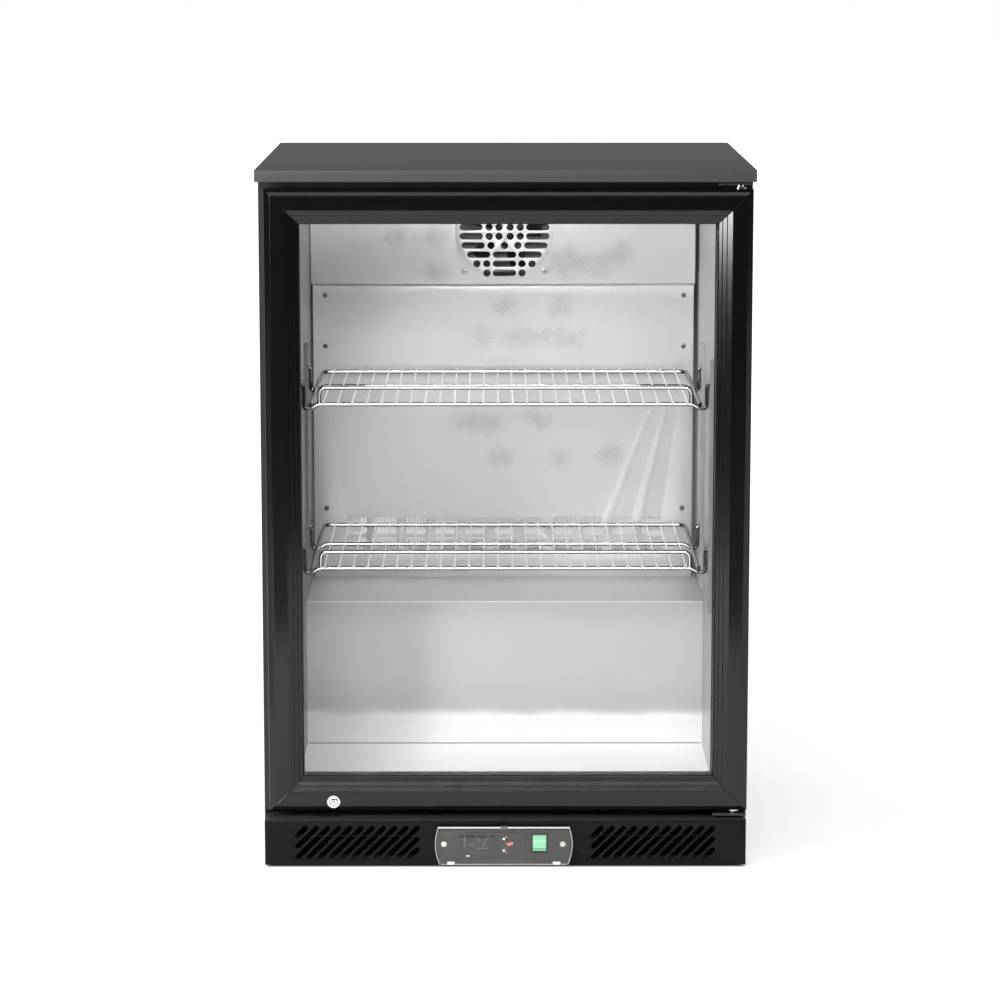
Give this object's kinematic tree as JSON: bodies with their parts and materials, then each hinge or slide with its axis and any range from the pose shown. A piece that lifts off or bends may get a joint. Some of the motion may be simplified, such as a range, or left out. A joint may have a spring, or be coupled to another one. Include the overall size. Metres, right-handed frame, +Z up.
{
  "type": "undercounter refrigerator",
  "caption": "Undercounter bottle refrigerator with a glass door hinged on the right, wire shelves, a slotted plinth with a covered control panel, and a flat worktop.",
  "frame": {"origin": "middle of the footprint, on the floor", "axes": "+X to the right of someone facing the door, +Y to the back, +Z up"},
  "size_m": [0.6, 0.5274, 0.857],
  "materials": {
    "black_steel": "satin",
    "black_profile": "satin",
    "bright_sheet": "bright",
    "chrome": "polished",
    "glass": "clear",
    "clear_plastic": "clear, slightly smoked",
    "grey_plastic": "satin",
    "black_plastic": "satin",
    "green_plastic": "gloss",
    "rubber": "matte",
    "foam": "rough",
    "aluminium": "mill finish",
    "cast": "painted black",
    "lamp_lens": "translucent white"
  },
  "bodies": {
    "cabinet": {"worktop": "black_steel", "casing_left": "black_steel", "casing_right": "black_steel", "casing_back": "black_steel", "insulation": "foam", "front_frame": "black_steel", "liner_left": "bright_sheet", "liner_right": "bright_sheet", "liner_back": "bright_sheet", "liner_ceiling": "bright_sheet", "liner_floor": "bright_sheet", "plinth_grille": "black_steel", "lock_keeper": "aluminium", "base_pan": "aluminium", "control_plate": "grey_plastic", "controller": "black_plastic", "switch_body": "black_plastic", "hinge_bracket_top": "chrome", "hinge_bracket_bottom": "chrome", "pilaster_front_right": "bright_sheet", "pilaster_front_left": "bright_sheet", "pilaster_rear_right": "bright_sheet", "pilaster_rear_left": "bright_sheet", "fan_panel": "bright_sheet", "duct_panel": "bright_sheet", "evaporator": "aluminium", "fan_motor": "cast", "lamp": "lamp_lens", "compressor": "cast", "condenser": "aluminium", "condenser_fan_motor": "cast", "condensate_tray": "black_plastic", "rear_grille": "black_steel", "cable_gland": "black_plastic"},
    "door": {"door_rail_bottom": "black_profile", "door_stile_right": "black_profile", "door_rail_top": "black_profile", "door_stile_left": "black_profile", "glass_outer": "glass", "glass_inner": "glass", "glass_spacer": "aluminium", "door_gasket": "rubber", "hinge_bush_bottom": "chrome", "hinge_bush_top": "chrome", "lock_body": "chrome"},
    "lock": {"lock_plug": "chrome", "lock_cam": "aluminium"},
    "shelf_upper": {"shelf_upper": "chrome"},
    "shelf_lower": {"shelf_lower": "chrome"},
    "control_cover": {"control_cover": "clear_plastic"},
    "key_up": {"key_up": "black_plastic"},
    "key_down": {"key_down": "black_plastic"},
    "key_set": {"key_set": "black_plastic"},
    "switch_rocker": {"switch_rocker": "green_plastic"},
    "fan_blade": {"fan_blade": "black_plastic"},
    "condenser_fan_blade": {"condenser_fan_blade": "black_plastic"},
    "foot_front_left": {"foot_front_left": "black_plastic"},
    "foot_front_right": {"foot_front_right": "black_plastic"},
    "foot_rear_left": {"foot_rear_left": "black_plastic"},
    "foot_rear_right": {"foot_rear_right": "black_plastic"}
  },
  "joints": [
    {"name": "door_hinge", "type": "hinge", "parent": "cabinet", "child": "door", "pos_m": [0.281, -0.23825, 0.45], "axis": [0, 0, 1], "range_deg": [0, 110]},
    {"name": "lock_turn", "type": "hinge", "parent": "door", "child": "lock", "pos_m": [-0.211, -0.24625, 0.0825], "axis": [0, -1, 0], "range_deg": [0, 90]},
    {"name": "shelf_upper_lift", "type": "slide", "parent": "cabinet", "child": "shelf_upper", "axis": [0, 0, 1], "range_m": [0, 0.009]},
    {"name": "shelf_lower_lift", "type": "slide", "parent": "cabinet", "child": "shelf_lower", "axis": [0, 0, 1], "range_m": [0, 0.009]},
    {"name": "control_cover_flap", "type": "hinge", "parent": "cabinet", "child": "control_cover", "pos_m": [-0.002, -0.25975, 0.00475], "axis": [1, 0, 0], "range_deg": [0, 90]},
    {"name": "key_up_press", "type": "slide", "parent": "cabinet", "child": "key_up", "axis": [0, 1, 0], "range_m": [0, 0.0006], "stiffness_N_per_m": 500},
    {"name": "key_down_press", "type": "slide", "parent": "cabinet", "child": "key_down", "axis": [0, 1, 0], "range_m": [0, 0.0006], "stiffness_N_per_m": 500},
    {"name": "key_set_press", "type": "slide", "parent": "cabinet", "child": "key_set", "axis": [0, 1, 0], "range_m": [0, 0.0006], "stiffness_N_per_m": 500},
    {"name": "rocker_tilt", "type": "hinge", "parent": "cabinet", "child": "switch_rocker", "pos_m": [0.042, -0.25725, 0.0305], "axis": [-1, 0, 0], "range_deg": [0, 14]},
    {"name": "fan_spin", "type": "hinge", "parent": "cabinet", "child": "fan_blade", "pos_m": [0, 0.14075, 0.747], "axis": [0, 1, 0], "continuous": true},
    {"name": "condenser_fan_spin", "type": "hinge", "parent": "cabinet", "child": "condenser_fan_blade", "pos_m": [0.165, 0.12375, 0.125], "axis": [0, 1, 0], "continuous": true},
    {"name": "foot_front_left_turn", "type": "hinge", "parent": "cabinet", "child": "foot_front_left", "pos_m": [-0.262, -0.17825, 0.02], "axis": [0, 0, 1], "continuous": true},
    {"name": "foot_front_right_turn", "type": "hinge", "parent": "cabinet", "child": "foot_front_right", "pos_m": [0.262, -0.17825, 0.02], "axis": [0, 0, 1], "continuous": true},
    {"name": "foot_rear_left_turn", "type": "hinge", "parent": "cabinet", "child": "foot_rear_left", "pos_m": [-0.262, 0.22575, 0.02], "axis": [0, 0, 1], "continuous": true},
    {"name": "foot_rear_right_turn", "type": "hinge", "parent": "cabinet", "child": "foot_rear_right", "pos_m": [0.262, 0.22575, 0.02], "axis": [0, 0, 1], "continuous": true}
  ]
}
